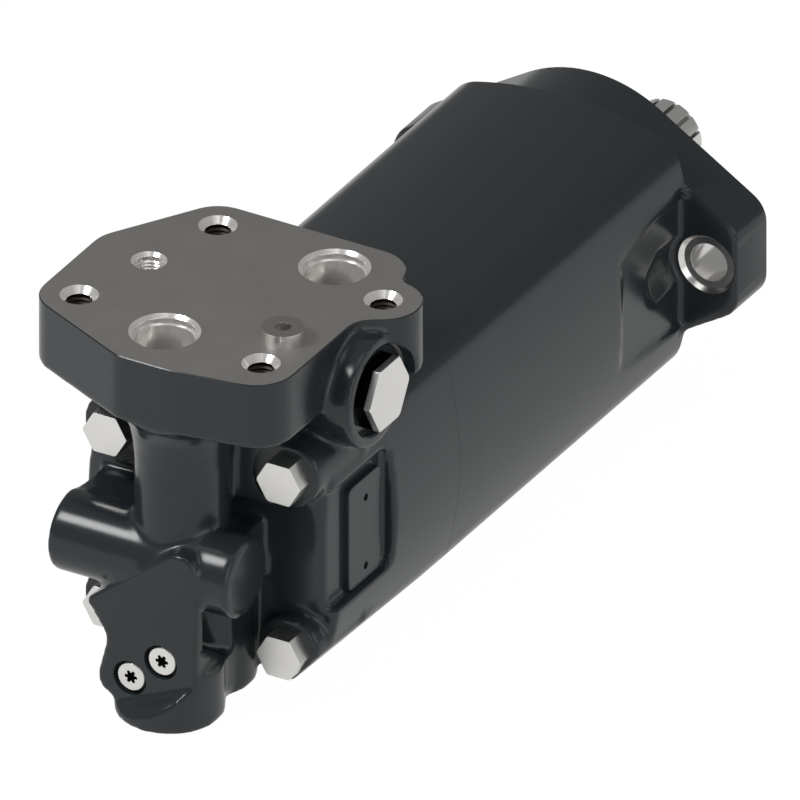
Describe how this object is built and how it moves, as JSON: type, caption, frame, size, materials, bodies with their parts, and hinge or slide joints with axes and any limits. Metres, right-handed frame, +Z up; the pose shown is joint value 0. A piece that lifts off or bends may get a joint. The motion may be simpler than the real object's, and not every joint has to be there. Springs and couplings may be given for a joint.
{
  "type": "orbital hydraulic motor",
  "caption": "Orbital hydraulic motor with a two-bolt pilot flange, splined shaft, bolted geroler ring and a valve housing with a flat port manifold.",
  "frame": {"origin": "centre of the flange mounting face on the shaft axis", "axes": "+X along the shaft toward its free end, +Z up through the port face, +Y to the left seen from the valve end"},
  "size_m": [0.3417, 0.1288, 0.1376],
  "materials": {
    "case_paint": "satin dark charcoal paint over cast iron",
    "ring_paint": "satin dark charcoal paint over steel",
    "hard_steel": "ground hardened steel",
    "ground_steel": "lapped steel",
    "plain_steel": "turned steel",
    "bolt_steel": "zinc plated steel",
    "plug_steel": "zinc plated steel",
    "pin_steel": "turned steel",
    "shaft_steel": "machined steel",
    "link_steel": "hardened machined steel",
    "spring_steel": "drawn spring steel",
    "ring_bronze": "turned bronze",
    "seal_rubber": "moulded nitrile rubber"
  },
  "bodies": {
    "case": {"front_housing": "case_paint", "geroler_ring": "ring_paint", "geroler_rollers": "hard_steel", "valve_housing": "case_paint", "housing_bolts": "bolt_steel", "seam_seals": "seal_rubber", "front_bearing": "hard_steel", "rear_bearing": "hard_steel", "thrust_bearing": "hard_steel", "shaft_seal": "seal_rubber", "backup_washer": "plain_steel", "dust_seal": "seal_rubber", "retaining_ring": "spring_steel", "valve_plate": "ground_steel", "balance_ring": "ring_bronze", "balance_seal": "seal_rubber", "balance_springs": "spring_steel", "locating_pin": "pin_steel", "shuttle_plug": "plug_steel", "shuttle_plug_seal": "seal_rubber", "shuttle_spring_left": "spring_steel", "shuttle_spring_right": "spring_steel", "selector_plug": "plain_steel", "selector_plug_seal": "seal_rubber", "selector_spring": "spring_steel", "gallery_plugs": "plain_steel", "check_balls": "hard_steel"},
    "shaft": {"output_shaft": "shaft_steel"},
    "orbit": {"drive_spacer": "plain_steel"},
    "star": {"rotor_star": "ground_steel"},
    "link": {"drive_link": "link_steel"},
    "valve_link": {"valve_drive": "link_steel"},
    "disc": {"disc_valve": "ground_steel"},
    "shuttle": {"shuttle_spool": "ground_steel"},
    "selector": {"selector_spool": "ground_steel"}
  },
  "joints": [
    {"name": "shaft_spin", "type": "hinge", "parent": "case", "child": "shaft", "pos_m": [0, 0, 0], "axis": [1, 0, 0], "continuous": true},
    {"name": "orbit_turn", "type": "hinge", "parent": "case", "child": "orbit", "pos_m": [-0.1641, 0, 0], "axis": [1, 0, 0], "continuous": true},
    {"name": "star_turn", "type": "hinge", "parent": "orbit", "child": "star", "pos_m": [-0.16245, 0.0025, 0], "axis": [1, 0, 0], "continuous": true},
    {"name": "link_turn", "type": "hinge", "parent": "orbit", "child": "link", "pos_m": [-0.104, 0, 0], "axis": [0.999, -0.0452, 0], "continuous": true},
    {"name": "valve_link_turn", "type": "hinge", "parent": "orbit", "child": "valve_link", "pos_m": [-0.199, 0, 0], "axis": [0.9968, 0.0794, 0], "continuous": true},
    {"name": "disc_turn", "type": "hinge", "parent": "case", "child": "disc", "pos_m": [-0.19, 0, 0], "axis": [1, 0, 0], "continuous": true},
    {"name": "shuttle_slide", "type": "slide", "parent": "case", "child": "shuttle", "axis": [0, 1, 0], "range_m": [-0.003, 0.003], "stiffness_N_per_m": 1500, "deforming": ["shuttle_spring_left", "shuttle_spring_right"]},
    {"name": "selector_slide", "type": "slide", "parent": "case", "child": "selector", "axis": [0, -1, 0], "range_m": [0, 0.006], "stiffness_N_per_m": 1500, "springref_m": -0.004, "deforming": ["selector_spring"]}
  ],
  "couplings": [
    {"joint": "orbit_turn", "follows": "shaft_spin", "ratio": -6},
    {"joint": "star_turn", "follows": "shaft_spin", "ratio": 7},
    {"joint": "link_turn", "follows": "shaft_spin", "ratio": 7},
    {"joint": "valve_link_turn", "follows": "shaft_spin", "ratio": 7},
    {"joint": "disc_turn", "follows": "shaft_spin", "ratio": 1}
  ]
}
